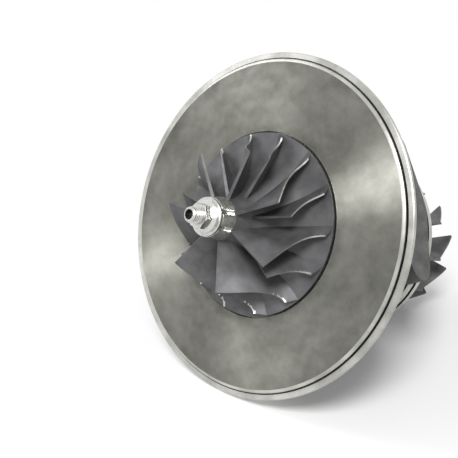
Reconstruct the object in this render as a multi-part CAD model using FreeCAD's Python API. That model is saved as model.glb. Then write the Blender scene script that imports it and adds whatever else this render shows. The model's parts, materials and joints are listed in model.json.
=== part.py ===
import FreeCAD, Part
import math
import os
from FreeCAD import Matrix, Placement, Rotation, Vector

# A turbo cartridge in millimetres. Everything is modelled around the shaft: Z runs along it
# towards the compressor, Z = 0 is the face of the compressor flange, X is right and Y is up for
# someone who looks into the compressor wheel. The last step lays the whole thing on the floor,
# on the rim of its flange and two tips of the turbine wheel.

# Compressor flange: turned disc with a rounded bead, a narrow groove and a set-back land
flange_r = 95.0
face_r = 89.5
bead_r = 91.2
bead_drop = 0.9
groove_r = 92.0
groove_depth = 3.4
land_setback = 2.0
rim_edge = 2.4
edge_chamfer = 0.5
chamfer_lean = 0.8
cone_r = 91.4
cone_length = 2.8
rim_back = -11.0
rim_wall_r = 86.8
web_thickness = 6.0
rib_count = 7
rib_thickness = 6.0
rib_angle = 69.0
rib_drop = 1.5

# Compressor wheel
wheel_r = 50.2
wheel_gap = 0.9
wheel_stand = 1.5
wheel_back = 2.2
exit_r = 48.8
exit_height = 5.6
eye_r = 38.5
eye_h = 32.0
hub_eye_r = 11.5
nose_r = 10.4
nose_h = 41.6
full_blades = 7
blade_phase = 11.0
blade_wrap = 36.8
tip_wrap = 31.8
wrap_power = 3.2
back_sweep = 0.12
splitter_start = 0.22
blade_root = 1.9
blade_tip = 0.85
blade_inset = 0.5
wheel_boss_r = 13.0
wheel_boss_h = -8.0
back_cone_h = -6.5
balance_cut_r = 1.7
balance_angles = (59.0, 109.0)

# Nut, washer and the shaft's thread
washer_r = 10.2
washer_thickness = 2.3
nut_flange_r = 8.6
nut_flange_height = 1.5
nut_across_flats = 12.0
nut_hex_height = 4.7
thread_r = 4.0
thread_end = 56.5
thread_chamfer = 0.8
socket_flats = 4.9
socket_depth = 3.0

# Shaft
stub_r = 4.75
journal_r = 7.5
relief_r = 6.9
shoulder_h = -32.0
seal_hub_r = 12.6
seal_hub_length = 26.0
fit_gap = 0.02
running_gap = 0.03
floating_gap = 0.06

# Seal plate and what holds it
seal_plate_r = 42.0
seal_plate_gap = 0.1
seal_plate_front = -7.75
seal_plate_back = -18.0
seal_bore_r = 12.5
recess_floor = -4.0
oring_r = 1.05
oring_h = -13.5
circlip_thickness = 1.6
circlip_reach = 2.3
circlip_inner_r = 38.2
circlip_lug_at = 37.4
circlip_lug_r = 3.2
circlip_lug_angle = 7.0
circlip_eye_r = 1.2
circlip_opening = 4.4

# Slinger, baffle and thrust parts
slinger_r = 12.2
slinger_neck_r = 11.3
slinger_flange_r = 16.5
slinger_flange_thickness = 2.9
ring_thickness = 1.5
ring_side_gap = 0.1
ring_depth = 2.5
ring_opening = 0.8
ring_spacing = 1.6
ring_turn = 150.0
baffle_thickness = 1.25
baffle_r = 36.0
baffle_window_width = 18.0
baffle_window_height = 14.0
thrust_plate_r = 33.9
thrust_plate_thickness = 5.9
thrust_gap = 0.05
thrust_sleeve_r = 9.5
thrust_collar_r = 15.5
thrust_collar_thickness = 2.9
thrust_notch_width = 22.0
thrust_pads = 6
thrust_groove_width = 1.2
thrust_groove_depth = 0.4
thrust_screw_r = 2.5
thrust_screw_head_r = 4.2
thrust_screw_head = 2.6
thrust_screw_length = 12.0
thrust_screw_circle_r = 26.5

# Journal bearings
bearing_r = 10.44
bearing_length = 14.0
bearing_h = -35.3
bearing_spacing = 29.4
bearing_oil_holes = 6
bearing_hole_r = 1.2
spacer_r = 10.2
spacer_wall = 1.9
spacer_window_r = 3.2
end_gap = 0.3
snap_thickness = 1.1
snap_reach = 0.9
snap_inner_r = 8.8
snap_opening = 3.0

# Bearing housing
hub_wall_r = 54.0
hub_wall_back_r = 49.5
hub_wall_back = -23.0
step_r = 43.5
step_back = -27.5
barrel_r = 31.0
barrel_front = -34.0
barrel_back = -72.0
throat_r = 40.0
turbine_flange_r = 54.0
turbine_flange_front = -84.5
turbine_flange_back = -95.0
band_groove_front = -88.0
band_groove_width = 2.8
band_groove_depth = 4.5
nose_root_r = 33.0
nose_end_r = 20.0
nose_end = -112.5
hot_seal_gap = 0.3

# Oil feed pad with its two ports
feed_angle = 59.0
feed_h = -60.0
feed_face = 60.0
feed_thickness = 10.0
feed_reach = 33.0
feed_end_r = 10.0
feed_middle_r = 19.0
feed_neck = (15.0, 12.0)
feed_port_r = 3.5
feed_port_spacing = 9.0
feed_port_length = 14.0
feed_drill_r = 2.0
waist_drop = 9.0
gusset_thickness = 8.0
gusset_flat = 10.0
gusset_rise = 9.0

# Oil drain flange
drain_angle = 239.0
drain_face = 58.0
drain_thickness = 11.0
drain_reach = 30.0
drain_end_r = 11.0
drain_middle_r = 22.0
drain_neck = (18.0, 18.0)
drain_port_r = 13.0
drain_port_length = 36.0
drain_window_r = 5.5
drain_bolt_r = 4.25
front_drain_r = 4.5
rear_drain_r = 3.5

# Side boss and gallery plug
boss_angle = 324.0
boss_h = -49.4
boss_r = 17.0
boss_root = 12.0
boss_face = 46.0
boss_hole_r = 7.5
boss_hole_depth = 16.0
plug_angle = 19.0
plug_h = -43.0
plug_boss_r = 8.5
plug_boss_face = 38.0
plug_shank_r = 5.0
plug_shank_length = 8.0
plug_collar_r = 7.0
plug_collar_height = 2.0
plug_flats = 11.0
plug_head_height = 7.0

# Heat shield
shield_r = 39.5
shield_wall = 1.4
shield_end = -116.5
shield_flange_r = 45.5
shield_hole_r = 15.0

# Turbine wheel
turbine_blades = 11
turbine_back = -118.0
turbine_inlet_r = 40.6
turbine_disc_r = 39.6
turbine_disc_edge = 2.4
turbine_disc_lip = 0.7
turbine_inlet_end = -133.0
turbine_exit = -150.0
turbine_exit_r = 37.3
turbine_hub_exit_r = 11.5
turbine_wrap = 24.0
turbine_wrap_power = 2.1
turbine_blade_root = 3.0
turbine_blade_tip = 1.3
scallop_r = 7.5
scallop_depth = 12.0
turbine_nose_r = 8.5
turbine_nose_end = -157.0


# Helpers

def outline(points, y=0.0):
    # A closed wire in the X-Z plane; a point of four numbers is an arc through the first two.
    edges = []
    here = Vector(points[0][0], y, points[0][1])
    start = here
    for point in points[1:]:
        end = Vector(point[-2], y, point[-1])
        if len(point) == 4:
            edges.append(Part.Arc(here, Vector(point[0], y, point[1]), end).toShape())
        else:
            edges.append(Part.LineSegment(here, end).toShape())
        here = end
    edges.append(Part.LineSegment(here, start).toShape())
    return Part.Wire(edges)


def turned(points):
    face = Part.Face(outline(points))
    return face.revolve(Vector(0, 0, 0), Vector(0, 0, 1), 360)


def rod(radius, low, high):
    return Part.makeCylinder(radius, high - low, Vector(0, 0, low))


def ring(inner, outer, low, high):
    return rod(outer, low, high).cut(rod(inner, low, high))


def around(radius, angle, h):
    # A point at this radius, with the angle clockwise from the top as seen from the compressor.
    turn = math.radians(angle)
    return Vector(radius * math.sin(turn), radius * math.cos(turn), h)


def slot_box(width, inner, outer, low, high):
    # A straight-sided block that reaches outwards at the top, from one radius to another.
    return Part.makeBox(width, outer - inner, high - low, Vector(-width / 2, inner, low))


def turn_by(shape, angle):
    # Turns clockwise as seen from the compressor.
    copy = shape.copy()
    copy.rotate(Vector(0, 0, 0), Vector(0, 0, 1), -angle)
    return copy


def facing(angle, h):
    # A frame whose Z points straight out of the shaft at this angle and whose Y is the shaft's.
    turn = math.radians(angle)
    out = (math.sin(turn), math.cos(turn))
    side = (-math.cos(turn), math.sin(turn))
    return Placement(Matrix(side[0], 0, out[0], 0,
                            side[1], 0, out[1], 0,
                            0, 1, 0, h,
                            0, 0, 0, 1))


def put(shape, place):
    copy = shape.copy()
    copy.Placement = place.multiply(copy.Placement)
    return copy


def hexagon(across_flats, low, high):
    corner = across_flats / 2 / math.cos(math.pi / 6)
    points = [Vector(corner * math.cos(k * math.pi / 3), corner * math.sin(k * math.pi / 3), low)
              for k in range(7)]
    return Part.Face(Part.makePolygon(points)).extrude(Vector(0, 0, high - low))


def pad_outline(reach, end_r, middle_r, height):
    # The usual two-lobed flange: a middle circle and two end circles joined by their tangents.
    tilt = math.acos((middle_r - end_r) / reach)
    middle = Vector(middle_r * math.cos(tilt), middle_r * math.sin(tilt), height)
    end = Vector(reach + end_r * math.cos(tilt), end_r * math.sin(tilt), height)
    tip = Vector(reach + end_r, 0, height)
    crown = Vector(0, middle_r, height)

    def mirrored(point, x, y):
        return Vector(point.x * x, point.y * y, height)

    edges = [Part.Arc(mirrored(middle, -1, 1), crown, middle).toShape(),
             Part.LineSegment(middle, end).toShape(),
             Part.Arc(end, tip, mirrored(end, 1, -1)).toShape(),
             Part.LineSegment(mirrored(end, 1, -1), mirrored(middle, 1, -1)).toShape(),
             Part.Arc(mirrored(middle, 1, -1), mirrored(crown, 1, -1),
                      mirrored(middle, -1, -1)).toShape(),
             Part.LineSegment(mirrored(middle, -1, -1), mirrored(end, -1, -1)).toShape(),
             Part.Arc(mirrored(end, -1, -1), mirrored(tip, -1, 1), mirrored(end, -1, 1)).toShape(),
             Part.LineSegment(mirrored(end, -1, 1), mirrored(middle, -1, 1)).toShape()]
    return Part.Wire(edges)


def oval(half_x, half_y, height):
    # Every oval starts and ends at its +X side, so that a loft through several isn't twisted.
    centre = Vector(0, 0, height)
    x_end = centre + Vector(half_x, 0, 0)
    y_end = centre + Vector(0, half_y, 0)
    if half_x == half_y:
        return Part.Wire(Part.makeCircle(half_x, centre))
    if half_x > half_y:
        return Part.Wire(Part.Ellipse(x_end, y_end, centre).toShape())
    back = centre - Vector(half_x, 0, 0)
    return Part.Wire(Part.Ellipse(y_end, back, centre).toShape(-math.pi / 2, 3 * math.pi / 2))


# Shared heights along the shaft, worked out from the sizes above

thrust_collar_front = shoulder_h + thrust_collar_thickness
thrust_plate_back = thrust_collar_front + thrust_gap
thrust_plate_front = thrust_plate_back + thrust_plate_thickness
slinger_back = thrust_plate_front + thrust_gap
baffle_front = seal_plate_back - thrust_gap
baffle_back = baffle_front - baffle_thickness
circlip_back = seal_plate_front + thrust_gap
circlip_front = circlip_back + circlip_thickness
bearing_bore_r = bearing_r + floating_gap
rear_bearing_h = bearing_h - bearing_spacing
rear_snap_h = rear_bearing_h - bearing_length - end_gap
seal_plate_bore_r = seal_plate_r + seal_plate_gap
nut_seat = nose_h + washer_thickness
hot_seal_r = seal_hub_r + hot_seal_gap
turbine_ring_h = nose_end + 4.0
ring_pitch = ring_thickness + ring_spacing
front_ring_h = wheel_boss_h - 3.8
weld_h = shield_end + 1.0
weld_r = seal_hub_r - 1.6


# Compressor wheel: hub and lofted blades

def hub_point(t, rim=wheel_r):
    # The hub runs along the shaft at the eye and straight out at the rim, which stands proud.
    swing = t * math.pi / 2
    radius = rim - (rim - hub_eye_r) * math.cos(swing)
    return radius, wheel_stand + (eye_h + 1.0 - wheel_stand) * (1 - math.sin(swing))


def foot_point(t):
    # The blades end a little inside the rim.
    return hub_point(t, wheel_r - blade_inset)


def shroud_point(t):
    swing = t * math.pi / 2
    radius = exit_r - (exit_r - eye_r) * math.cos(swing)
    return radius, eye_h - (eye_h - exit_height) * math.sin(swing)


def compressor_turn(t):
    # How far the blade has turned back at this share of its way, steep at the eye.
    return -blade_wrap * ((1 - back_sweep) * (1 - (1 - t) ** wrap_power) + back_sweep * t)


def turbine_hub_point(t, lip=turbine_disc_lip):
    swing = t * math.pi / 2
    top = turbine_back - turbine_disc_edge
    start = turbine_disc_r - lip
    radius = start - (start - turbine_hub_exit_r) * math.sin(swing)
    return radius, top + (turbine_exit - top) * (1 - math.cos(swing))


def turbine_foot_point(t):
    # The blades start on the disc's flat lip, halfway across it.
    return turbine_hub_point(t, turbine_disc_lip / 2)


def turbine_shroud_point(t):
    swing = t * math.pi / 2
    radius = turbine_inlet_r - (turbine_inlet_r - turbine_exit_r) * math.sin(swing)
    return radius, turbine_inlet_end + (turbine_exit - turbine_inlet_end) * (1 - math.cos(swing))


def turbine_turn(t):
    return -turbine_wrap * t ** turbine_wrap_power


def blade(hub, shroud, turn, tip_share, start, stations, root, tip, sink, angle):
    # Lofts one twisted blade through four-cornered sections from its leading to its trailing edge.
    def camber(t):
        low = around(*swapped(hub(t), angle + turn(t)))
        high = around(*swapped(shroud(t), angle + turn(t) * tip_share))
        return low, high

    step = 0.01
    wires = []
    for k in range(stations):
        t = start + (1 - start) * k / (stations - 1)
        low, high = camber(t)
        before = camber(max(t - step, 0.0))
        after = camber(min(t + step, 1.0))
        span = (high - low).normalize()
        side = (after[0] - before[0] + after[1] - before[1]).cross(span).normalize()
        low = low - span * sink
        corners = [low + side * (root / 2), high + side * (tip / 2),
                   high - side * (tip / 2), low - side * (root / 2)]
        wires.append(Part.makePolygon(corners + [corners[0]]))
    return Part.makeLoft(wires, True, False)


def swapped(point, angle):
    return point[0], angle, point[1]


def meridian(hub, count):
    points = [Vector(hub(k / count)[0], 0, hub(k / count)[1]) for k in range(count + 1)]
    curve = Part.BSplineCurve()
    curve.interpolate(points)
    return curve.toShape()


def turned_on_curve(curve, points):
    # Turns a profile whose first stretch is a curve and whose others are straight.
    here = curve.Vertexes[-1].Point
    start = curve.Vertexes[0].Point
    edges = [curve]
    for radius, h in points:
        end = Vector(radius, 0, h)
        edges.append(Part.LineSegment(here, end).toShape())
        here = end
    edges.append(Part.LineSegment(here, start).toShape())
    face = Part.Face(Part.Wire(edges))
    return face.revolve(Vector(0, 0, 0), Vector(0, 0, 1), 360)


def compressor_wheel():
    bore = stub_r + fit_gap
    hub = turned_on_curve(meridian(hub_point, 8),
                          [(wheel_r, -wheel_back), (wheel_boss_r + 2.0, back_cone_h),
                           (wheel_boss_r, back_cone_h), (wheel_boss_r, wheel_boss_h),
                           (bore, wheel_boss_h), (bore, nose_h), (nose_r, nose_h)])
    pitch = 360.0 / full_blades
    hub = turn_by(hub, blade_phase - 90.0 + pitch / 4)
    tip_share = tip_wrap / blade_wrap
    blades = []
    for k in range(full_blades):
        angle = blade_phase + k * pitch
        blades.append(blade(foot_point, shroud_point, compressor_turn, tip_share, 0.0, 8,
                            blade_root, blade_tip, 1.0, angle))
        blades.append(blade(foot_point, shroud_point, compressor_turn, tip_share, splitter_start, 6,
                            blade_root, blade_tip, 1.0, angle + pitch / 2))
    wheel = hub.fuse(blades)
    cuts = [put(rod(balance_cut_r, eye_h + 2.0, nose_h + 1.0),
                Placement(around(nose_r + 0.4, angle, 0), Rotation()))
            for angle in balance_angles]
    return wheel.cut(cuts)


def turbine_wheel():
    hub = turned_on_curve(meridian(turbine_hub_point, 8),
                          [(turbine_hub_exit_r, turbine_exit - 2.0),
                           (turbine_nose_r, turbine_exit - 4.0),
                           (turbine_nose_r - 0.6, turbine_nose_end), (0, turbine_nose_end),
                           (0, weld_h), (weld_r, weld_h),
                           (weld_r, turbine_back), (turbine_disc_r, turbine_back),
                           (turbine_disc_r, turbine_back - turbine_disc_edge)])
    pitch = 360.0 / turbine_blades
    first = 180.0 + pitch / 2 - turbine_turn(1.0)
    hub = turn_by(hub, first - 90.0 + pitch / 4)
    scallops = []
    for k in range(turbine_blades):
        centre = around(turbine_disc_r + 1.0, first + (k + 0.5) * pitch, turbine_back - scallop_depth)
        scallops.append(Part.makeCylinder(scallop_r, scallop_depth + 1.0, centre))
    blades = [blade(turbine_foot_point, turbine_shroud_point, turbine_turn, 1.0, 0.0, 7,
                    turbine_blade_root, turbine_blade_tip, 1.6, first + k * pitch)
              for k in range(turbine_blades)]
    return hub.cut(scallops).fuse(blades)


# Shaft and its clamped stack

def rotor_shaft():
    hub_front = nose_end + seal_hub_length
    groove_bottom = seal_hub_r - ring_depth
    profile = [(0, weld_h), (weld_r, weld_h), (seal_hub_r, weld_h + seal_hub_r - weld_r)]
    for k in range(2):
        low = turbine_ring_h + k * ring_pitch
        profile += [(seal_hub_r, low), (groove_bottom, low),
                    (groove_bottom, low + ring_thickness + ring_side_gap),
                    (seal_hub_r, low + ring_thickness + ring_side_gap)]
    profile += [(seal_hub_r, hub_front - 1.0), (seal_hub_r - 1.0, hub_front),
                (journal_r, hub_front), (journal_r, rear_bearing_h + 0.5),
                (relief_r, rear_bearing_h + 1.5), (relief_r, bearing_h - bearing_length - 1.5),
                (journal_r, bearing_h - bearing_length - 0.5), (journal_r, shoulder_h),
                (stub_r, shoulder_h), (stub_r, nose_h - 2.0), (thread_r, nose_h - 2.0),
                (thread_r, thread_end - thread_chamfer),
                (thread_r - thread_chamfer, thread_end), (0, thread_end)]
    shaft = turned(profile)
    socket = hexagon(socket_flats, thread_end - socket_depth, thread_end + 1.0)
    return shaft.cut([socket, turn_by(socket, 30.0)])


def compressor_nut():
    hex_low = nut_seat + nut_flange_height
    hex_high = hex_low + nut_hex_height
    corner = nut_across_flats / 2 / math.cos(math.pi / 6)
    flat = nut_across_flats / 2
    cone = turned([(0, nut_seat), (nut_flange_r, nut_seat), (nut_flange_r, nut_seat + 0.9),
                   (flat + 0.6, hex_low + 0.8), (0, hex_low + 0.8)])
    crown = turned([(0, hex_low), (corner, hex_low), (corner, hex_high - 0.7),
                    (flat + 0.1, hex_high), (0, hex_high)])
    nut = cone.fuse(hexagon(nut_across_flats, hex_low, hex_high).common(crown))
    return nut.cut(rod(thread_r + fit_gap, nut_seat - 1.0, hex_high + 1.0))


def nut_washer():
    inner = thread_r + 0.2
    top = nose_h + washer_thickness
    return turned([(inner, nose_h), (washer_r, nose_h), (washer_r, top - 0.5),
                   (washer_r - 0.5, top), (inner, top)])


def split_ring(outer, low, angle):
    # A piston ring with its narrow gap, standing in its groove with a little room all round.
    inner = outer - ring_depth + 0.3
    whole = ring(inner, outer, low, low + ring_thickness)
    gap = slot_box(ring_opening, 0, outer + 1.0, low, low + ring_thickness)
    return whole.cut(turn_by(gap, angle))


def compressor_piston_rings():
    rings = [split_ring(seal_bore_r - fit_gap, front_ring_h - k * ring_pitch + ring_side_gap / 2,
                        ring_turn * k) for k in range(2)]
    return Part.makeCompound(rings)


def turbine_piston_rings():
    rings = [split_ring(hot_seal_r - fit_gap, turbine_ring_h + k * ring_pitch + ring_side_gap / 2,
                        ring_turn * k) for k in range(2)]
    return Part.makeCompound(rings)


def oil_slinger():
    bore = stub_r + fit_gap
    bottom = seal_bore_r - ring_depth - 0.1
    profile = [(bore, slinger_back), (slinger_flange_r, slinger_back),
               (slinger_flange_r, slinger_back + slinger_flange_thickness - 1.2),
               (slinger_flange_r - 3.0, slinger_back + slinger_flange_thickness),
               (slinger_neck_r, slinger_back + slinger_flange_thickness),
               (slinger_neck_r, seal_plate_back + 0.4), (slinger_r, seal_plate_back + 1.0)]
    for k in (1, 0):
        ring_low = front_ring_h - k * ring_pitch
        ring_high = ring_low + ring_thickness + ring_side_gap
        profile += [(slinger_r, ring_low), (bottom, ring_low), (bottom, ring_high),
                    (slinger_r, ring_high)]
    profile += [(slinger_r, wheel_boss_h), (bore, wheel_boss_h)]
    return turned(profile)


def thrust_sleeve():
    return ring(stub_r + fit_gap, thrust_sleeve_r, thrust_collar_front, slinger_back)


def thrust_collar():
    return turned([(stub_r + fit_gap, shoulder_h), (thrust_collar_r - 1.0, shoulder_h),
                   (thrust_collar_r, shoulder_h + 1.0), (thrust_collar_r, thrust_collar_front),
                   (stub_r + fit_gap, thrust_collar_front)])


# Fixed pieces inside the housing

def screw_places():
    return [drain_angle + 60.0 + 120.0 * k for k in range(3)]


def thrust_bearing():
    hole = thrust_sleeve_r + 0.08
    plate = ring(hole, thrust_plate_r, thrust_plate_back, thrust_plate_front)
    cuts = []
    for angle in screw_places():
        centre = around(thrust_screw_circle_r, angle, thrust_plate_back - 1.0)
        cuts.append(Part.makeCylinder(thrust_screw_r + 0.1, thrust_plate_thickness + 2.0, centre))
    # The oil falls out through a wide notch towards the drain.
    notch = slot_box(thrust_notch_width, thrust_collar_r + 2.5, thrust_plate_r + 1.0,
                     thrust_plate_back - 1.0, thrust_plate_front + 1.0)
    cuts.append(turn_by(notch, drain_angle))
    for k in range(thrust_pads):
        groove = slot_box(thrust_groove_width, hole - 1.0, thrust_collar_r,
                          thrust_plate_front - thrust_groove_depth, thrust_plate_front + 1.0)
        cuts.append(turn_by(groove, drain_angle + 360.0 / thrust_pads * (k + 0.5)))
    return plate.cut(cuts)


def thrust_bearing_screws():
    screws = []
    for angle in screw_places():
        low = thrust_plate_front + fit_gap
        shank = rod(thrust_screw_r, low - thrust_screw_length, low)
        head = rod(thrust_screw_head_r, low, low + thrust_screw_head)
        socket = hexagon(thrust_screw_r * 1.6, low + 1.0, low + thrust_screw_head + 1.0)
        screw = shank.fuse(head).cut(socket)
        screws.append(put(screw, Placement(around(thrust_screw_circle_r, angle, 0), Rotation())))
    return Part.makeCompound(screws)


def oil_baffle():
    hole = slinger_neck_r + 0.7
    plate = ring(hole, baffle_r - seal_plate_gap, baffle_back, baffle_front)
    inner = slinger_flange_r + 3.0
    window = slot_box(baffle_window_width, inner, inner + baffle_window_height,
                      baffle_back - 1.0, baffle_front + 1.0)
    return plate.cut(turn_by(window, drain_angle))


def seal_plate():
    pocket = wheel_boss_r + 1.6
    step = circlip_lug_at - circlip_lug_r - 0.7
    slope = (wheel_back + back_cone_h) / (wheel_r - wheel_boss_r - 2.0)

    def behind_wheel(radius):
        return -wheel_back + slope * (wheel_r - radius) - 1.1

    groove_low = oring_h - oring_r - 0.2
    groove_high = oring_h + oring_r + 0.2
    groove_r = seal_plate_bore_r - 2 * oring_r - 0.1
    return turned([(seal_bore_r, seal_plate_back), (seal_plate_r, seal_plate_back),
                   (seal_plate_r, groove_low), (groove_r, groove_low), (groove_r, groove_high),
                   (seal_plate_r, groove_high), (seal_plate_r, seal_plate_front),
                   (step, seal_plate_front), (step - 1.0, behind_wheel(step - 1.0)),
                   (pocket, behind_wheel(pocket)), (pocket, wheel_boss_h - 0.6),
                   (seal_bore_r, wheel_boss_h - 0.6)])


def seal_plate_oring():
    centre = seal_plate_bore_r - oring_r - 0.03
    return Part.makeTorus(centre, oring_r, Vector(0, 0, oring_h))


def seal_plate_circlip():
    outer = seal_plate_bore_r + circlip_reach
    whole = ring(circlip_inner_r, outer, circlip_back, circlip_front)
    lugs = []
    eyes = []
    for side in (-1, 1):
        centre = around(circlip_lug_at, drain_angle + side * circlip_lug_angle, circlip_back)
        lugs.append(Part.makeCylinder(circlip_lug_r, circlip_thickness, centre))
        eyes.append(Part.makeCylinder(circlip_eye_r, circlip_thickness, centre))
    gap = slot_box(circlip_opening, 0, outer + 1.0, circlip_back, circlip_front)
    return whole.fuse(lugs).cut(eyes + [turn_by(gap, drain_angle)])


def journal_bearing(top):
    bush = ring(journal_r + running_gap, bearing_r, top - bearing_length, top)
    middle = top - bearing_length / 2
    holes = []
    for k in range(bearing_oil_holes):
        drill = Part.makeCylinder(bearing_hole_r, bearing_r + 1.0, Vector(0, 0, middle),
                                  Vector(0, 1, 0))
        holes.append(turn_by(drill, 360.0 * k / bearing_oil_holes))
    return bush.cut(holes)


def snap_ring(top, angle):
    outer = bearing_bore_r + snap_reach - 0.1
    whole = ring(snap_inner_r, outer, top - snap_thickness, top)
    gap = slot_box(snap_opening, 0, outer + 1.0, top - snap_thickness, top)
    return whole.cut(turn_by(gap, angle))


def bearing_spacer():
    high = bearing_h - bearing_length - end_gap
    low = rear_bearing_h + end_gap
    tube = ring(spacer_r - spacer_wall, spacer_r, low, high)
    window = Part.makeCylinder(spacer_window_r, 2 * spacer_r + 2.0,
                               Vector(0, -spacer_r - 1.0, (low + high) / 2), Vector(0, 1, 0))
    return tube.cut([turn_by(window, drain_angle), turn_by(window, drain_angle + 90.0)])


def gallery_plug():
    base = plug_boss_face
    top = base + plug_collar_height + plug_head_height
    shank = rod(plug_shank_r, base - plug_shank_length, base)
    collar = rod(plug_collar_r, base, base + plug_collar_height)
    corner = plug_flats / 2 / math.cos(math.pi / 6)
    dome = turned([(0, base), (corner, base), (corner, top - 1.2), (corner - 1.6, top), (0, top)])
    head = hexagon(plug_flats, base + plug_collar_height, top).common(dome)
    socket = hexagon(plug_flats * 0.5, top - 4.0, top + 1.0)
    return put(shank.fuse([collar, head]).cut(socket), facing(plug_angle, plug_h))


def heat_shield():
    base = turbine_flange_back
    inner = shield_r - shield_wall
    hole = shield_hole_r
    round_r = 3.0
    return turned([(inner, base), (shield_flange_r, base), (shield_flange_r, base - shield_wall),
                   (shield_r + 2.0, base - shield_wall), (shield_r, base - shield_wall - 2.0),
                   (shield_r, shield_end + round_r),
                   (shield_r - round_r * 0.3, shield_end + round_r * 0.3,
                    shield_r - round_r, shield_end),
                   (hole, shield_end), (hole, shield_end + shield_wall),
                   (inner - round_r, shield_end + shield_wall),
                   (inner, shield_end + shield_wall + round_r)])


# Bearing housing

def housing_body():
    cone_back = -land_setback - rim_edge - cone_length
    profile = [(0, 0), (face_r, 0), (face_r + 0.7, -0.1), (face_r + 1.2, -0.32),
               (face_r + 1.54, -0.58), (bead_r, -bead_drop), (bead_r, -groove_depth),
               (groove_r, -groove_depth), (groove_r, -land_setback),
               (flange_r - edge_chamfer, -land_setback),
               (flange_r, -land_setback - edge_chamfer * chamfer_lean),
               (flange_r, -land_setback - rim_edge), (cone_r, cone_back),
               (cone_r, rim_back + chamfer_lean), (cone_r - 1.0, rim_back), (rim_wall_r, rim_back),
               (rim_wall_r - 1.0, -web_thickness - 1.5),
               (rim_wall_r - 1.5, -web_thickness - 0.4, rim_wall_r - 3.0, -web_thickness),
               (hub_wall_r + 3.0, -web_thickness - 1.0),
               (hub_wall_r + 0.9, -web_thickness - 1.9, hub_wall_r, -web_thickness - 4.0),
               (hub_wall_back_r, hub_wall_back), (step_r, hub_wall_back),
               (step_r, step_back), (barrel_r + 6.0, step_back - 2.0),
               (barrel_r + 1.4, step_back - 3.4, barrel_r, barrel_front - 2.0),
               (barrel_r, barrel_back),
               (barrel_r + 2.2, barrel_back - 5.6, throat_r, turbine_flange_front + 3.0),
               (turbine_flange_r - 1.0, turbine_flange_front),
               (turbine_flange_r, turbine_flange_front - chamfer_lean),
               (turbine_flange_r, band_groove_front),
               (turbine_flange_r - band_groove_depth, band_groove_front),
               (turbine_flange_r - band_groove_depth, band_groove_front - band_groove_width),
               (turbine_flange_r, band_groove_front - band_groove_width),
               (turbine_flange_r, turbine_flange_back + chamfer_lean),
               (turbine_flange_r - 1.0, turbine_flange_back),
               (nose_root_r, turbine_flange_back), (nose_root_r - 3.0, turbine_flange_back - 4.0),
               (nose_end_r, nose_end), (0, nose_end)]
    # the seam of the turned faces lies inside the second rib
    return turn_by(turned(profile), rib_angle + 360.0 / rib_count - 90.0)


def flange_rib():
    # A cast rib on the back of the flange, from the hub wall out to the rim.
    low = hub_wall_back_r - 3.0
    high = rim_wall_r + 1.0
    wire = outline([(low, -web_thickness + 1.0), (high, -web_thickness + 1.0),
                    (high, rim_back + rib_drop), (hub_wall_r + 6.0, rim_back - 3.0),
                    (low, hub_wall_back + 3.0)], -rib_thickness / 2)
    rib = Part.Face(wire).extrude(Vector(0, rib_thickness, 0))
    rib.rotate(Vector(0, 0, 0), Vector(0, 0, 1), 90)
    return rib


def pad_with_neck(reach, end_r, middle_r, face, thickness, neck_x, neck_y):
    # The neck flares from a waist to the plate and to its root in the barrel.
    plate = Part.Face(pad_outline(reach, end_r, middle_r, face - thickness))
    plate = plate.extrude(Vector(0, 0, thickness))
    under = oval(neck_x * 1.5, neck_y * 1.12, face - thickness + 0.5)
    waist = oval(neck_x, neck_y, face - thickness - waist_drop)
    root = oval(neck_x * 1.15, neck_y * 1.3, barrel_r * 0.6)
    neck = Part.makeLoft([root, waist, under], True, False)
    return plate.fuse(neck)


def gusset(face, depth):
    # The web that ties a pad's neck to the back of the flange.
    x = -gusset_thickness / 2
    foot = barrel_r - 4.0
    flange_side = -web_thickness - feed_h + 1.0
    points = [Vector(x, depth, foot), Vector(x, depth, face), Vector(x, depth + gusset_flat, face),
              Vector(x, flange_side, face + gusset_rise), Vector(x, flange_side, foot)]
    wire = Part.makePolygon(points + [points[0]])
    return Part.Face(wire).extrude(Vector(gusset_thickness, 0, 0))


def housing_passages():
    deep = [rod(wheel_r + wheel_gap, recess_floor, 1.0),
            rod(seal_plate_bore_r, seal_plate_back, 1.0),
            rod(seal_plate_bore_r + circlip_reach + 0.1, circlip_back - thrust_gap,
                circlip_front + thrust_gap),
            rod(baffle_r, baffle_back, 1.0),
            rod(thrust_plate_r + seal_plate_gap, thrust_plate_back, 1.0),
            rod(thrust_collar_r + 1.5, shoulder_h - 1.0, 1.0),
            rod(bearing_bore_r, nose_end + 20.0, 1.0),
            rod(bearing_bore_r + snap_reach, bearing_h + end_gap - fit_gap,
                bearing_h + end_gap + snap_thickness + fit_gap),
            rod(bearing_bore_r + snap_reach, rear_snap_h - snap_thickness - fit_gap,
                rear_snap_h + fit_gap),
            rod(hot_seal_r, nose_end - 1.0, rear_snap_h - 3.0),
            rod(hot_seal_r + 4.0, nose_end + 22.0, rear_snap_h - 3.0)]
    middle = (bearing_h - bearing_length + rear_bearing_h) / 2
    deep.append(rod(bearing_bore_r + 3.0, middle - drain_window_r, middle + drain_window_r))
    for angle in screw_places():
        centre = around(thrust_screw_circle_r, angle,
                        thrust_plate_front - thrust_screw_length - 1.0)
        deep.append(Part.makeCylinder(thrust_screw_r, thrust_screw_length + 1.0, centre))
    return deep


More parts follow.
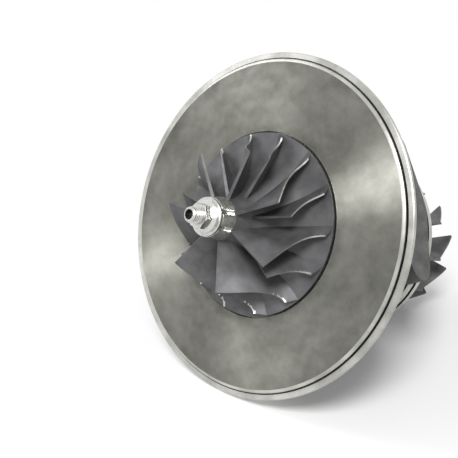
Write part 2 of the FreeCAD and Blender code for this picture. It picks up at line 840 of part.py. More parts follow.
def feed_passages():
    cuts = []
    for side in (-1, 1):
        port = rod(feed_port_r, feed_face - feed_port_length, feed_face + 1.0)
        mouth = turned([(0, feed_face - feed_port_r * 0.25),
                        (feed_port_r, feed_face - feed_port_r * 0.25),
                        (feed_port_r * 1.35, feed_face + 0.1), (0, feed_face + 0.1)])
        shift = Placement(Vector(0, side * feed_port_spacing / 2, 0), Rotation())
        cuts.append(put(put(port, shift), facing(feed_angle, feed_h)))
        cuts.append(put(put(mouth, shift), facing(feed_angle, feed_h)))
        target = bearing_h - bearing_length / 2 if side > 0 else rear_bearing_h - bearing_length / 2
        start = around(feed_face - feed_port_length + 1.0, feed_angle,
                       feed_h + side * feed_port_spacing / 2)
        end = around(bearing_bore_r - 0.5, feed_angle, target)
        cuts.append(Part.makeCylinder(feed_drill_r, (end - start).Length, start, end - start))
    return cuts


def drain_passages():
    middle = (bearing_h - bearing_length + rear_bearing_h) / 2
    place = facing(drain_angle, feed_h)
    cuts = [put(rod(drain_port_r, drain_face - drain_port_length, drain_face + 1.0), place),
            put(rod(drain_window_r, 0, drain_face - drain_port_length + 1.0),
                facing(drain_angle, middle))]
    for side in (-1, 1):
        bolt = rod(drain_bolt_r, drain_face - drain_thickness - 1.0, drain_face + 1.0)
        shift = Placement(Vector(side * drain_reach, 0, 0), Rotation())
        cuts.append(put(put(bolt, shift), place))
    gallery_r = drain_face - drain_port_length - 1.0
    front = around(gallery_r, drain_angle, feed_h)
    cuts.append(Part.makeCylinder(front_drain_r, thrust_plate_back - feed_h + 1.0, front))
    back = around(gallery_r - 2.5, drain_angle, nose_end + 25.0)
    cuts.append(Part.makeCylinder(rear_drain_r, feed_h - back.z, back))
    return cuts


def bearing_housing():
    ribs = [turn_by(flange_rib(), rib_angle + 360.0 * k / rib_count) for k in range(rib_count)]
    feed = pad_with_neck(feed_reach, feed_end_r, feed_middle_r, feed_face, feed_thickness,
                         *feed_neck)
    drain = pad_with_neck(drain_reach, drain_end_r, drain_middle_r, drain_face, drain_thickness,
                          *drain_neck)
    adds = ribs + [put(feed, facing(feed_angle, feed_h)),
                   put(drain, facing(drain_angle, feed_h)),
                   put(gusset(feed_face - 3.0, feed_middle_r - 4.0), facing(feed_angle, feed_h)),
                   put(rod(boss_r, boss_root, boss_face), facing(boss_angle, boss_h)),
                   put(rod(plug_boss_r, boss_root, plug_boss_face), facing(plug_angle, plug_h))]
    body = housing_body().fuse(adds)
    cuts = housing_passages() + feed_passages() + drain_passages()
    cuts.append(put(rod(boss_hole_r, boss_face - boss_hole_depth, boss_face + 1.0),
                    facing(boss_angle, boss_h)))
    cuts.append(put(rod(plug_shank_r, plug_boss_face - plug_shank_length - 2.0,
                        plug_boss_face + 1.0), facing(plug_angle, plug_h)))
    return body.cut(cuts)


parts = {
    "bearing_housing": bearing_housing(),
    "gallery_plug": gallery_plug(),
    "seal_plate": seal_plate(),
    "seal_plate_oring": seal_plate_oring(),
    "seal_plate_circlip": seal_plate_circlip(),
    "oil_baffle": oil_baffle(),
    "thrust_bearing": thrust_bearing(),
    "thrust_bearing_screws": thrust_bearing_screws(),
    "front_journal_bearing": journal_bearing(bearing_h),
    "rear_journal_bearing": journal_bearing(rear_bearing_h),
    "front_bearing_circlip": snap_ring(bearing_h + end_gap + snap_thickness, 20.0),
    "rear_bearing_circlip": snap_ring(rear_snap_h, 200.0),
    "bearing_spacer": bearing_spacer(),
    "heat_shield": heat_shield(),
    "turbine_piston_rings": turbine_piston_rings(),
    "compressor_piston_rings": compressor_piston_rings(),
    "rotor_shaft": rotor_shaft(),
    "turbine_wheel": turbine_wheel(),
    "thrust_collar": thrust_collar(),
    "thrust_sleeve": thrust_sleeve(),
    "oil_slinger": oil_slinger(),
    "compressor_wheel": compressor_wheel(),
    "nut_washer": nut_washer(),
    "compressor_nut": compressor_nut(),
}

# Lay everything down: the rim's back edge and the lowest turbine blade tips touch the floor
rim_h = -land_setback - rim_edge
tilt = min(math.degrees(math.atan2(flange_r + corner.Y, rim_h - corner.Z))
           for corner in parts["turbine_wheel"].Vertexes)
lean = Rotation(Vector(1, 0, 0), 90.0 - tilt)
rim_low = lean.multVec(Vector(0, -flange_r, rim_h))

# The origin is on the floor, halfway between the shaft's threaded end and the turbine's far side
leaned = Placement(Vector(0, 0, -rim_low.z), lean)
shaft_box = put(parts["rotor_shaft"], leaned).optimalBoundingBox(False)
turbine_box = put(parts["turbine_wheel"], leaned).optimalBoundingBox(False)
floor_drop = Placement(Vector(0, -(shaft_box.YMin + turbine_box.YMax) / 2, -rim_low.z), lean)

os.makedirs("parts", exist_ok=True)
for name, shape in parts.items():
    laid = put(shape, floor_drop)
    laid.exportStep("parts/" + name + ".step")
    box = laid.BoundBox
    print(name, len(laid.Solids), round(laid.Volume, 1), laid.isValid(),
          round(box.XMin, 1), round(box.XMax, 1), round(box.YMin, 1), round(box.YMax, 1),
          round(box.ZMin, 1), round(box.ZMax, 1))
print("tilt", round(tilt, 3), "drop", round(-rim_low.z, 3))
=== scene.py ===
import json
import math

import bmesh
import bpy
from mathutils import Euler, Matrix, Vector


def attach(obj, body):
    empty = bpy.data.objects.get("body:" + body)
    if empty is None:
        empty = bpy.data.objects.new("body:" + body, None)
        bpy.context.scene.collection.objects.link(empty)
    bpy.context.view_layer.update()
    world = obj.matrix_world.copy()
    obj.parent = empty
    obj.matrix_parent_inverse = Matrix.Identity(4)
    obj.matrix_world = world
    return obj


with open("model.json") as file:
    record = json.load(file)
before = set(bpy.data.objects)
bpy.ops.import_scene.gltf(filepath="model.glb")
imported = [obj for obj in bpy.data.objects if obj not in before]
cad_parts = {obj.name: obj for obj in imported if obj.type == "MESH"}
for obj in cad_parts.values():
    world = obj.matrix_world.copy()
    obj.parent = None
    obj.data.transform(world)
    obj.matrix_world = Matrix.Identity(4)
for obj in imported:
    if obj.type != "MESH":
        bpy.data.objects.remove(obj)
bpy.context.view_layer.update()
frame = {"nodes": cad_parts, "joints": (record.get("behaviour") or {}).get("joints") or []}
nodes = frame["nodes"]
spin = next(j for j in frame["joints"] if j["name"] == "rotor_spin")
flangeCentre = Vector(spin["pos_m"])  # where the shaft crosses the flange's face
shaftAxis = Vector(spin["axis"])  # points out of the compressor wheel
upAxis = shaftAxis.cross(Vector((1, 0, 0)))
mm = 0.001
print("cartridge loaded:", len(nodes), "nodes")


def onShaft(x, y, h):
    # a place in millimetres from the flange's centre: right, up and along the shaft
    return flangeCentre + (Vector((1, 0, 0)) * x + upAxis * y + shaftAxis * h) * mm


def shaftPlace(p):
    # radius, clockwise angle from the top and height along the shaft, in millimetres and degrees
    d = (p - flangeCentre) / mm
    x, y = d.x, d.dot(upAxis)
    return math.hypot(x, y), math.degrees(math.atan2(x, y)) % 360, d.dot(shaftAxis)


camera = {
    "lens": 80.31,
    "sensor": 36.0,
    "pan": 43.9,
    "lookDown": 22.95,
    "flangeSeenAt": (16.105, 2.636, 556.65),  # right, up and away from the camera, in mm
}


def placeCamera():
    cam = bpy.data.cameras.new("photoCamera")
    cam.lens = camera["lens"]
    cam.sensor_width = camera["sensor"]
    cam.clip_start, cam.clip_end = 0.01, 20
    body = bpy.data.objects.new("photoCamera", cam)
    bpy.context.scene.collection.objects.link(body)
    turn = Euler((math.radians(90 - camera["lookDown"]), 0, math.radians(camera["pan"])), "XYZ")
    axes = turn.to_matrix()
    right, up, away = (v * mm for v in camera["flangeSeenAt"])
    body.rotation_euler = turn
    body.location = flangeCentre - axes @ Vector((right, up, -away))
    bpy.context.scene.camera = body


placeCamera()
print("camera placed")


# materials: every finish measures from the shaft, so that rings and streaks follow the turning

class Finish:
    def __init__(self, name):
        self.mat = bpy.data.materials.new(name)
        self.mat.use_nodes = True
        self.tree = self.mat.node_tree
        self.tree.nodes.clear()
        self.out = self.add("ShaderNodeOutputMaterial")
        self.skin = self.add("ShaderNodeBsdfPrincipled")
        self.join(self.skin.outputs["BSDF"], self.out.inputs["Surface"])

    def add(self, kind, **values):
        node = self.tree.nodes.new(kind)
        for key, value in values.items():
            setattr(node, key, value)
        return node

    def join(self, a, b):
        self.tree.links.new(a, b)

    def feed(self, socket, value):
        if isinstance(value, bpy.types.NodeSocket):
            self.join(value, socket)
        else:
            socket.default_value = value

    def math(self, kind, a, b=0.0, c=0.0, clamp=False):
        node = self.add("ShaderNodeMath", operation=kind, use_clamp=clamp)
        for socket, value in zip(node.inputs, (a, b, c)):
            self.feed(socket, value)
        return node.outputs[0]

    def place(self):
        # millimetres from the flange's centre: X right, Y up, Z along the shaft
        if not hasattr(self, "where"):
            spot = self.add("ShaderNodeTexCoord").outputs["Object"]
            turn = math.atan2(shaftAxis.z, -shaftAxis.y) - math.pi / 2
            back = Euler((turn, 0, 0)).to_matrix() @ flangeCentre
            move = self.add("ShaderNodeMapping", vector_type="POINT")
            self.join(spot, move.inputs["Vector"])
            move.inputs["Rotation"].default_value = (turn, 0, 0)
            move.inputs["Scale"].default_value = (1000, 1000, 1000)
            move.inputs["Location"].default_value = tuple(-v * 1000 for v in back)
            split = self.add("ShaderNodeSeparateXYZ")
            self.join(move.outputs[0], split.inputs[0])
            self.where = move.outputs[0]
            self.x, self.y, self.h = split.outputs
            self.r = self.math("SQRT", self.math("ADD", self.math("MULTIPLY", self.x, self.x),
                                                 self.math("MULTIPLY", self.y, self.y)))
            self.angle = self.math("ARCTAN2", self.x, self.y)
        return self

    def noise(self, size, detail=4.0, rough=0.5, where=None, stretch=None):
        # size is in millimetres
        source = where or self.place().where
        if stretch:
            scale = self.add("ShaderNodeVectorMath", operation="MULTIPLY")
            self.join(source, scale.inputs[0])
            scale.inputs[1].default_value = stretch
            source = scale.outputs[0]
        node = self.add("ShaderNodeTexNoise")
        self.join(source, node.inputs["Vector"])
        node.inputs["Scale"].default_value = 1 / size
        node.inputs["Detail"].default_value = detail
        node.inputs["Roughness"].default_value = rough
        return node.outputs["Fac"]

    def rings(self, pitch, wander=0.0):
        # fine turned grooves, from the radius and the height, as a noise along one line
        self.place()
        line = self.add("ShaderNodeCombineXYZ")
        self.join(self.math("ADD", self.r, self.h), line.inputs[0])
        if wander:
            self.join(self.math("MULTIPLY", self.angle, wander), line.inputs[1])
        return self.noise(pitch, 3.0, 0.6, where=line.outputs[0])

    def span(self, value, low, high, toLow=0.0, toHigh=1.0):
        node = self.add("ShaderNodeMapRange")
        self.feed(node.inputs["Value"], value)
        for key, number in (("From Min", low), ("From Max", high), ("To Min", toLow), ("To Max", toHigh)):
            node.inputs[key].default_value = number
        return node.outputs[0]

    def mix(self, share, a, b, blend="MIX"):
        node = self.add("ShaderNodeMix", data_type="RGBA", blend_type=blend)
        self.feed(node.inputs["Factor"], share)
        for socket, value in ((node.inputs[6], a), (node.inputs[7], b)):
            self.feed(socket, value if isinstance(value, bpy.types.NodeSocket) else (*value, 1))
        return node.outputs[2]

    def colour(self, value):
        self.feed(self.skin.inputs["Base Color"],
                  value if isinstance(value, bpy.types.NodeSocket) else (*value, 1))
        return self

    def set(self, **values):
        names = {"metal": "Metallic", "rough": "Roughness", "aniso": "Anisotropic",
                 "level": "Specular IOR Level"}
        for key, value in values.items():
            self.feed(self.skin.inputs[names[key]], value)
        return self

    def bump(self, height, depth, strength=1.0):
        # depth is in millimetres
        node = self.add("ShaderNodeBump")
        node.inputs["Strength"].default_value = strength
        node.inputs["Distance"].default_value = depth * mm
        self.join(height, node.inputs["Height"])
        self.join(node.outputs[0], self.skin.inputs["Normal"])
        return self

    def turnedTangent(self):
        # turned grooves run round the shaft, and their highlights stretch across them
        away = self.add("ShaderNodeVectorMath", operation="SUBTRACT")
        self.join(self.add("ShaderNodeTexCoord").outputs["Object"], away.inputs[0])
        away.inputs[1].default_value = flangeCentre
        around = self.add("ShaderNodeVectorMath", operation="CROSS_PRODUCT")
        around.inputs[0].default_value = shaftAxis
        self.join(away.outputs[0], around.inputs[1])
        turn = self.add("ShaderNodeVectorTransform", vector_type="VECTOR",
                        convert_from="OBJECT", convert_to="WORLD")
        self.join(around.outputs[0], turn.inputs[0])
        across = self.add("ShaderNodeVectorMath", operation="CROSS_PRODUCT")
        self.join(turn.outputs[0], across.inputs[0])
        self.join(self.add("ShaderNodeNewGeometry").outputs["Normal"], across.inputs[1])
        unit = self.add("ShaderNodeVectorMath", operation="NORMALIZE")
        self.join(across.outputs[0], unit.inputs[0])
        self.join(unit.outputs[0], self.skin.inputs["Tangent"])
        return self


turnedFace = {
    "pale": (0.335, 0.332, 0.300),
    # the colour of the painted shade beside the wheel and under the bead
    "dull": (0.185, 0.185, 0.162),
    "shadeColour": (0.075, 0.075, 0.062),
    "rough": 0.43,
    "grain": 0.95,
    "blotch": 34.0,
    "wheelShade": (50.5, 57.0),  # radii between which the painted shade beside the wheel thins out
    "beadShade": (80.0, 89.5),
    "oil": 0.62,
}


def turnedFaceFinish():
    s = turnedFace
    f = Finish("turnedFlangeFace").place()
    cloud = f.span(f.noise(s["blotch"], 6.0, 0.62), 0.36, 0.64)
    speck = f.span(f.noise(5.5, 5.0, 0.65), 0.30, 0.72)
    both = f.math("ADD", f.math("MULTIPLY", cloud, 0.8), f.math("MULTIPLY", speck, 0.2))
    skin = f.mix(both, s["dull"], s["pale"])
    # painted shade: darker beside the wheel and under the bead
    inner = f.span(f.r, *s["wheelShade"], 1.0, 0.0)
    outer = f.span(f.r, *s["beadShade"], 0.0, 0.55)
    patches = f.span(f.noise(13.0, 5.0, 0.6), 0.35, 0.62)
    oil = f.math("MULTIPLY", f.math("ADD", inner, outer), patches, clamp=True)
    f.colour(f.mix(f.math("MULTIPLY", oil, s["oil"]), skin, s["shadeColour"]))
    grooves = f.rings(0.55, 0.35)
    uneven = f.math("ADD", f.noise(9.0, 4.0), f.math("MULTIPLY", grooves, 0.5))
    f.set(metal=1.0, rough=f.span(uneven, 0.4, 1.0, s["rough"] - 0.07, s["rough"] + 0.1), aniso=s["grain"])
    f.turnedTangent()
    f.bump(grooves, 0.012, 0.5)
    return f.mat


brightRing = {"steel": (0.60, 0.595, 0.56), "dull": (0.33, 0.33, 0.305), "rough": 0.38}


def brightRingFinish():
    s = brightRing
    f = Finish("brightTurnedRing").place()
    worn = f.span(f.noise(17.0, 4.0, 0.6), 0.38, 0.66)
    f.colour(f.mix(f.math("MULTIPLY", worn, 0.75), s["steel"], s["dull"]))
    f.set(metal=1.0, rough=f.span(f.noise(6.0), 0.3, 0.7, s["rough"] - 0.05, s["rough"] + 0.08), aniso=0.7)
    f.turnedTangent()
    f.bump(f.rings(0.8), 0.004, 0.3)
    return f.mat


castIron = {"black": (0.032, 0.032, 0.033), "worn": (0.085, 0.085, 0.083), "grain": 1.1}


def castIronFinish():
    s = castIron
    f = Finish("blackCastIron").place()
    cloud = f.span(f.noise(21.0, 5.0, 0.6), 0.35, 0.7)
    f.colour(f.mix(cloud, s["black"], s["worn"]))
    grain = f.noise(s["grain"], 3.0, 0.7)
    lumps = f.noise(6.0, 3.0, 0.5)
    f.set(metal=0.35, rough=f.span(grain, 0.3, 0.7, 0.46, 0.68))
    f.bump(f.math("ADD", grain, f.math("MULTIPLY", lumps, 1.6)), 0.22, 0.8)
    return f.mat


milledPad = {"steel": (0.150, 0.150, 0.147), "dull": (0.085, 0.085, 0.084)}


def milledPadFinish():
    s = milledPad
    f = Finish("milledPadFace").place()
    lines = f.noise(0.5, 2.0, 0.5, stretch=(1.0, 1.0, 0.06))
    f.colour(f.mix(f.span(f.noise(8.0, 4.0), 0.35, 0.68), s["dull"], s["steel"]))
    f.set(metal=1.0, rough=f.span(lines, 0.3, 0.7, 0.34, 0.5))
    f.bump(lines, 0.015, 0.5)
    return f.mat


wheelAlloy = {"grey": (0.092, 0.092, 0.095), "pale": (0.165, 0.165, 0.17)}


def wheelAlloyFinish():
    s = wheelAlloy
    f = Finish("castWheelAlloy").place()
    cloud = f.span(f.noise(14.0, 4.0, 0.55), 0.35, 0.68)
    f.colour(f.mix(cloud, s["grey"], s["pale"]))
    grain = f.noise(0.8, 2.0, 0.6)
    f.set(metal=0.6, rough=f.span(f.noise(5.0), 0.3, 0.7, 0.52, 0.64), level=0.3)
    f.bump(grain, 0.03, 0.35)
    return f.mat


tipEdge = {"alloy": (0.62, 0.62, 0.61), "worn": (0.42, 0.42, 0.415)}


def tipEdgeFinish():
    f = Finish("turnedBladeEdge").place()
    f.colour(f.mix(f.span(f.noise(3.0), 0.35, 0.7), tipEdge["alloy"], tipEdge["worn"]))
    f.set(metal=1.0, rough=0.35)
    return f.mat


nutSteel = {"steel": (0.66, 0.655, 0.63), "shade": (0.42, 0.42, 0.405)}


def nutSteelFinish():
    s = nutSteel
    f = Finish("brightNutSteel").place()
    f.colour(f.mix(f.span(f.noise(2.6, 4.0, 0.6), 0.46, 0.8), s["steel"], s["shade"]))
    f.set(metal=1.0, rough=f.span(f.noise(1.4), 0.3, 0.7, 0.22, 0.32))
    f.bump(f.rings(0.3), 0.003, 0.3)
    return f.mat


# the hexagon's side facets get darker steel: painted shade standing in for their dark reflections
shadedNutFlats = {"steel": (0.24, 0.238, 0.228), "worn": (0.42, 0.415, 0.40)}


def shadedNutFlatsFinish():
    s = shadedNutFlats
    f = Finish("paintedShadeNutFlats").place()
    f.colour(f.mix(f.span(f.noise(1.8, 4.0, 0.6), 0.5, 0.8), s["steel"], s["worn"]))
    f.set(metal=1.0, rough=0.3)
    f.bump(f.noise(0.5, 3.0), 0.006, 0.4)
    return f.mat


turbineAlloy = {"grey": (0.085, 0.085, 0.085), "pale": (0.17, 0.17, 0.168)}


def turbineAlloyFinish():
    s = turbineAlloy
    f = Finish("castTurbineAlloy").place()
    f.colour(f.mix(f.span(f.noise(9.0, 5.0, 0.6), 0.34, 0.68), s["grey"], s["pale"]))
    f.set(metal=0.7, rough=f.span(f.noise(3.0), 0.3, 0.7, 0.42, 0.58))
    f.bump(f.noise(0.7, 3.0, 0.6), 0.05, 0.5)
    return f.mat


shieldSteel = {"steel": (0.52, 0.52, 0.51), "dull": (0.33, 0.33, 0.32)}


def shieldSteelFinish():
    s = shieldSteel
    f = Finish("brushedShieldSteel").place()
    f.colour(f.mix(f.span(f.noise(12.0, 4.0), 0.36, 0.66), s["dull"], s["steel"]))
    f.set(metal=1.0, rough=0.33, aniso=0.5)
    f.turnedTangent()
    f.bump(f.rings(0.35), 0.01, 0.4)
    return f.mat


groundSteel = {"steel": (0.55, 0.55, 0.54), "dull": (0.40, 0.40, 0.39)}


def groundSteelFinish():
    f = Finish("groundShaftSteel").place()
    f.colour(f.mix(f.span(f.noise(6.0), 0.35, 0.7), groundSteel["steel"], groundSteel["dull"]))
    f.set(metal=1.0, rough=0.28)
    f.bump(f.rings(0.25), 0.006, 0.4)
    return f.mat


springSteel = {"black": (0.05, 0.05, 0.052), "worn": (0.09, 0.09, 0.092)}


def springSteelFinish():
    f = Finish("phosphatedSpringSteel").place()
    f.colour(f.mix(f.span(f.noise(4.0), 0.35, 0.7), springSteel["black"], springSteel["worn"]))
    f.set(metal=0.8, rough=0.45)
    f.bump(f.noise(0.5, 2.0), 0.01, 0.4)
    return f.mat


bearingBronze = {"bronze": (0.56, 0.39, 0.17), "dark": (0.40, 0.26, 0.10)}


def bearingBronzeFinish():
    f = Finish("turnedBearingBronze").place()
    f.colour(f.mix(f.span(f.noise(5.0), 0.35, 0.7), bearingBronze["bronze"], bearingBronze["dark"]))
    f.set(metal=1.0, rough=0.32)
    f.bump(f.rings(0.3), 0.008, 0.4)
    return f.mat


sealAlloy = {"alloy": (0.40, 0.40, 0.40), "dull": (0.28, 0.28, 0.28)}


def sealAlloyFinish():
    f = Finish("turnedSealAlloy").place()
    f.colour(f.mix(f.span(f.noise(9.0), 0.35, 0.7), sealAlloy["alloy"], sealAlloy["dull"]))
    f.set(metal=1.0, rough=0.38)
    f.bump(f.rings(0.45), 0.01, 0.5)
    return f.mat


sealRubber = {"black": (0.012, 0.012, 0.012), "dusty": (0.025, 0.025, 0.025)}


def sealRubberFinish():
    f = Finish("blackSealRubber").place()
    f.colour(f.mix(f.span(f.noise(5.0), 0.35, 0.7), sealRubber["black"], sealRubber["dusty"]))
    f.set(rough=0.55)
    f.bump(f.noise(0.6), 0.01, 0.4)
    return f.mat


rimGroove = {"grey": (0.10, 0.10, 0.095), "pale": (0.20, 0.20, 0.19)}


def rimGrooveFinish():
    s = rimGroove
    f = Finish("shadedRimGroove").place()
    f.colour(f.mix(f.span(f.noise(7.0), 0.35, 0.7), s["grey"], s["pale"]))
    f.set(metal=1.0, rough=0.5)
    f.bump(f.rings(0.5), 0.004, 0.3)
    return f.mat


# near-black painted shade for the groove between the turbine end's lands and the housing past them
darkGroove = {"black": (0.018, 0.018, 0.018), "shadeGrey": (0.05, 0.05, 0.048)}


def darkGrooveFinish():
    f = Finish("paintedShadeGroove").place()
    f.colour(f.mix(f.span(f.noise(5.0), 0.35, 0.7), darkGroove["black"], darkGroove["shadeGrey"]))
    f.set(metal=0.5, rough=0.6)
    f.bump(f.noise(0.9), 0.03, 0.5)
    return f.mat


face = turnedFaceFinish()
ring = brightRingFinish()
iron = castIronFinish()
pad = milledPadFinish()
alloy = wheelAlloyFinish()
edge = tipEdgeFinish()
steel = nutSteelFinish()
shadedFlats = shadedNutFlatsFinish()
turbine = turbineAlloyFinish()
shield = shieldSteelFinish()
ground = groundSteelFinish()
spring = springSteelFinish()
bronze = bearingBronzeFinish()
seal = sealAlloyFinish()
rubber = sealRubberFinish()
groove = darkGrooveFinish()
rimLine = rimGrooveFinish()
print("finishes mixed")


def dress(name, *finishes, pick=None):
    # gives a node its finishes; pick says which one a facet takes, from its place on the shaft
    node = nodes[name]
    mesh = node.data
    mesh.materials.clear()
    for finish in finishes:
        mesh.materials.append(finish)
    if pick:
        for facet in mesh.polygons:
            facet.material_index = pick(facet, *shaftPlace(facet.center))
    return node


housing = {  # millimetres: radii, heights along the shaft, and each pad's angle and how far out it stands
    "faceR": (50.0, 89.6),
    "grooveR": (91.0, 92.2),
    "grooveH": (-3.6, -0.95),
    "rimR": 85.0,
    "rimBack": -12.0,
    "wellR": 51.0,  # the wheel's well in the flange
    "wellFloor": -19.0,
    "registerH": (-95.5, -84.0),  # the turbine end's two lands and the groove between them
    "landR": 53.0,
    "landLow": -91.0,
    "noseTop": -94.0,
    "wallR": (43.0, 50.5),
    "wallH": (-28.0, -22.0),
    "pads": ((59.0, 60.0), (239.0, 58.0), (324.0, 46.0), (19.0, 38.0)),
}


def outFrom(angle):
    turn = math.radians(angle)
    return Vector((1, 0, 0)) * math.sin(turn) + upAxis * math.cos(turn)


def within(value, span):
    return span[0] < value < span[1]


def pickHousing(facet, r, angle, h):
    # 0 cast, 1 turned face, 2 bright ring, 3 milled pad, 4 near-black painted shade in the groove between
    # the turbine end's lands and past them, 5 the rim's own groove
    s = housing
    if h > -0.3 and within(r, s["faceR"]):
        return 1
    if within(r, s["grooveR"]) and within(h, s["grooveH"]):
        return 5
    if r > s["rimR"] and h > s["rimBack"]:
        return 2
    if r > s["faceR"][0] and within(h, s["registerH"]):
        return 4 if r < s["landR"] and h > s["landLow"] else 2
    if h > s["wellFloor"] and r < s["wellR"]:
        return 2
    # past the lands the housing takes the near-black painted shade
    if h < s["noseTop"]:
        return 4
    for padAngle, reach in s["pads"]:
        out = outFrom(padAngle)
        level = (facet.center - flangeCentre).dot(out) / mm
        if facet.normal.dot(out) > 0.9 and abs(level - reach) < 0.6:
            return 3
    if within(r, s["wallR"]) and within(h, s["wallH"]):
        return 3
    return 0


dress("bearing_housing", iron, face, ring, pad, groove, rimLine, pick=pickHousing)


wheel = {"rimR": 50.2, "exitR": 48.8, "exitH": 5.6, "eyeR": 38.5, "eyeH": 32.0, "hubEyeR": 11.5,
         "noseFrom": 33.5, "edgeReach": 0.035}


def pickWheel(facet, r, angle, h):
    # 0 cast alloy, 1 turned edges of the blades and the rim, 2 the bright nose under the washer
    s = wheel
    if h > s["noseFrom"] and r < s["hubEyeR"] + 0.1:
        return 2
    # the blades' outer edge follows a quarter of an ellipse from the exit to the eye
    across = (s["exitR"] - r) / (s["exitR"] - s["eyeR"])
    along = (s["eyeH"] - h) / (s["eyeH"] - s["exitH"])
    offEdge = abs(across ** 2 + along ** 2 - 1)
    if h > s["exitH"] - 0.3 and r > s["eyeR"] - 1.0 and offEdge < s["edgeReach"]:
        return 1
    if r > s["rimR"] - 0.05:
        return 1
    if h > s["eyeH"] - 1.0 and r > s["hubEyeR"] + 0.3 and facet.normal.dot(shaftAxis) > 0.9:
        return 1
    return 0


dress("compressor_wheel", alloy, edge, steel, pick=pickWheel)
dress("turbine_wheel", turbine)
dress("heat_shield", shield)


stud = {"from": 40.0, "socketR": 2.9, "socketH": (53.0, 56.4)}


def pickShaft(facet, r, angle, h):
    # 0 ground, 1 bright stud, 2 the socket in its end, black spring steel as painted shade
    if within(h, stud["socketH"]) and r < stud["socketR"]:
        return 2
    return 1 if h > stud["from"] else 0


dress("rotor_shaft", ground, steel, spring, pick=pickShaft)
for name in ("nut_washer", "gallery_plug"):
    dress(name, steel)


nut = {"hexagonFrom": 46.0}


def pickNut(facet, r, angle, h):
    # 0 turned, 1 hexagon side facets, darkened as painted shade
    return 1 if h > nut["hexagonFrom"] and abs(facet.normal.dot(shaftAxis)) < 0.1 else 0


dress("compressor_nut", steel, shadedFlats, pick=pickNut)
for name in ("thrust_collar", "thrust_sleeve", "oil_slinger", "bearing_spacer", "thrust_bearing_screws"):
    dress(name, ground)
for name in ("seal_plate_circlip", "front_bearing_circlip", "rear_bearing_circlip",
             "turbine_piston_rings", "compressor_piston_rings"):
    dress(name, spring)
for name in ("thrust_bearing", "front_journal_bearing", "rear_journal_bearing"):
    dress(name, bronze)
dress("seal_plate", seal)
dress("oil_baffle", shield)
dress("seal_plate_oring", rubber)
print("nodes dressed")


studThread = {
    "core": 3.95,
    "crest": 4.28,
    "foot": 0.42,  # half the ridge's width at the core
    "tip": 0.08,
    "pitch": 1.25,
    "low": 50.5,
    "high": 55.3,
    "steps": 40,  # in one turn
    "runOut": 12,  # steps over which the ridge fades at each end
}


def cutThread():
    # the ridge of the stud's thread, where it stands out of the nut
    s = studThread
    turns = (s["high"] - s["low"]) / s["pitch"]
    count = int(turns * s["steps"])
    root = s["core"] - 0.1
    section = ((s["core"], -s["foot"]), (s["crest"], -s["tip"]),
               (s["crest"], s["tip"]), (s["core"], s["foot"]))
    points = []
    for k in range(count + 1):
        turn = 2 * math.pi * k / s["steps"]
        fade = min(1.0, k / s["runOut"], (count - k) / s["runOut"])
        h = s["low"] + s["pitch"] * k / s["steps"]
        for r, lift in section:
            r = root + (r - root) * fade
            points.append(onShaft(r * math.sin(turn), r * math.cos(turn), h + lift))
    facets = [(3, 2, 1, 0), tuple(count * 4 + i for i in range(4))]
    for k in range(count):
        for i in range(4):
            j = (i + 1) % 4
            facets.append((k * 4 + i, k * 4 + j, k * 4 + 4 + j, k * 4 + 4 + i))
    mesh = bpy.data.meshes.new("studThread")
    mesh.from_pydata(points, [], facets)
    mesh.materials.append(steel)
    ridge = bpy.data.objects.new("studThread", mesh)
    bpy.context.scene.collection.objects.link(ridge)
    work = bmesh.new()
    work.from_mesh(mesh)
    bmesh.ops.recalc_face_normals(work, faces=work.faces)
    work.to_mesh(mesh)
    work.free()
    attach(ridge, "rotor")


cutThread()
print("thread cut")


floorLook = {
    "white": 0.92,
    "reach": 6.0,
    "drop": 0.0002,  # keeps the floor just clear of the rim that lies on it
    "shadowAt": (0.05, 0.01, 0.0),
    "fade": (0.06, 0.19, 0.12, 1.0),  # metres from there: from, to, and the share of plain white at each
}


def seenPath(tree):
    # 1 where the camera, a reflection or a look through glass meets the background
    path = tree.nodes.new("ShaderNodeLightPath")
    share = path.outputs["Is Camera Ray"]
    for kind in ("Is Glossy Ray", "Is Transmission Ray"):
        most = tree.nodes.new("ShaderNodeMath")
        most.operation = "MAXIMUM"
        tree.links.new(share, most.inputs[0])
        tree.links.new(path.outputs[kind], most.inputs[1])
        share = most.outputs[0]
    return share


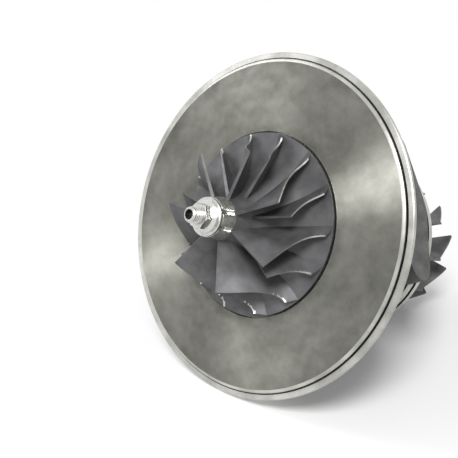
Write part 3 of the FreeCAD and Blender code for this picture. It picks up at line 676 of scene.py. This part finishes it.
def layFloor():
    # a plain floor that the camera sees as white wherever the part's shadow doesn't fall
    mesh = bpy.data.meshes.new("paleFloor")
    reach = floorLook["reach"]
    mesh.from_pydata([(-reach, -reach, 0), (reach, -reach, 0), (reach, reach, 0), (-reach, reach, 0)],
                     [], [(0, 1, 2, 3)])
    floor = bpy.data.objects.new("paleFloor", mesh)
    bpy.context.scene.collection.objects.link(floor)
    floor.location.z = -floorLook["drop"]
    mat = bpy.data.materials.new("paleFloor")
    mat.use_nodes = True
    tree = mat.node_tree
    skin = tree.nodes["Principled BSDF"]
    skin.inputs["Base Color"].default_value = (floorLook["white"],) * 3 + (1,)
    skin.inputs["Roughness"].default_value = 0.9
    skin.inputs["Specular IOR Level"].default_value = 0.1
    # seen directly or in metal, the floor turns into plain white away from the part
    spot = tree.nodes.new("ShaderNodeTexCoord")
    away = tree.nodes.new("ShaderNodeVectorMath")
    away.operation = "DISTANCE"
    away.inputs[1].default_value = floorLook["shadowAt"]
    tree.links.new(spot.outputs["Object"], away.inputs[0])
    fade = tree.nodes.new("ShaderNodeMapRange")
    fade.interpolation_type = "SMOOTHSTEP"
    tree.links.new(away.outputs["Value"], fade.inputs["Value"])
    for key, value in zip(("From Min", "From Max", "To Min", "To Max"), floorLook["fade"]):
        fade.inputs[key].default_value = value
    seen = tree.nodes.new("ShaderNodeMath")
    seen.operation = "MULTIPLY"
    tree.links.new(seenPath(tree), seen.inputs[0])
    tree.links.new(fade.outputs[0], seen.inputs[1])
    white = tree.nodes.new("ShaderNodeEmission")
    white.inputs["Color"].default_value = (1, 1, 1, 1)
    both = tree.nodes.new("ShaderNodeMixShader")
    tree.links.new(seen.outputs[0], both.inputs[0])
    tree.links.new(skin.outputs[0], both.inputs[1])
    tree.links.new(white.outputs[0], both.inputs[2])
    tree.links.new(both.outputs[0], tree.nodes["Material Output"].inputs["Surface"])
    mesh.materials.append(mat)


layFloor()


studio = {
    "sky": 0.42,
    "lamps": [
        # name, direction it shines from (right, up, front of the flange), distance, size, watts
        ("keyLamp", (0.39, 0.505, 0.77), 1.6, (0.5, 0.5), 25.0),
        ("sideLamp", (-0.75, 0.35, 0.55), 1.8, (0.5, 0.9), 6.0),
    ],
}


def hangLamps():
    for name, way, far, size, watts in studio["lamps"]:
        lamp = bpy.data.lights.new(name, "AREA")
        lamp.shape = "RECTANGLE"
        lamp.size, lamp.size_y = size
        lamp.energy = watts
        body = bpy.data.objects.new(name, lamp)
        bpy.context.scene.collection.objects.link(body)
        x, y, z = way
        out = (Vector((1, 0, 0)) * x + upAxis * y + shaftAxis * z).normalized()
        body.location = flangeCentre + out * far
        body.rotation_mode = "QUATERNION"
        body.rotation_quaternion = out.to_track_quat("Z", "Y")


def lightWorld():
    world = bpy.data.worlds.new("studioWorld")
    bpy.context.scene.world = world
    world.use_nodes = True
    tree = world.node_tree
    tree.nodes.clear()
    out = tree.nodes.new("ShaderNodeOutputWorld")
    both = tree.nodes.new("ShaderNodeMixShader")
    sky = tree.nodes.new("ShaderNodeBackground")
    sky.inputs["Strength"].default_value = studio["sky"]
    white = tree.nodes.new("ShaderNodeBackground")
    white.inputs["Color"].default_value = (1, 1, 1, 1)
    tree.links.new(seenPath(tree), both.inputs[0])
    tree.links.new(sky.outputs[0], both.inputs[1])
    tree.links.new(white.outputs[0], both.inputs[2])
    tree.links.new(both.outputs[0], out.inputs[0])


hangLamps()
lightWorld()
print("studio lit")

scene = bpy.context.scene
scene.view_settings.view_transform = "Standard"
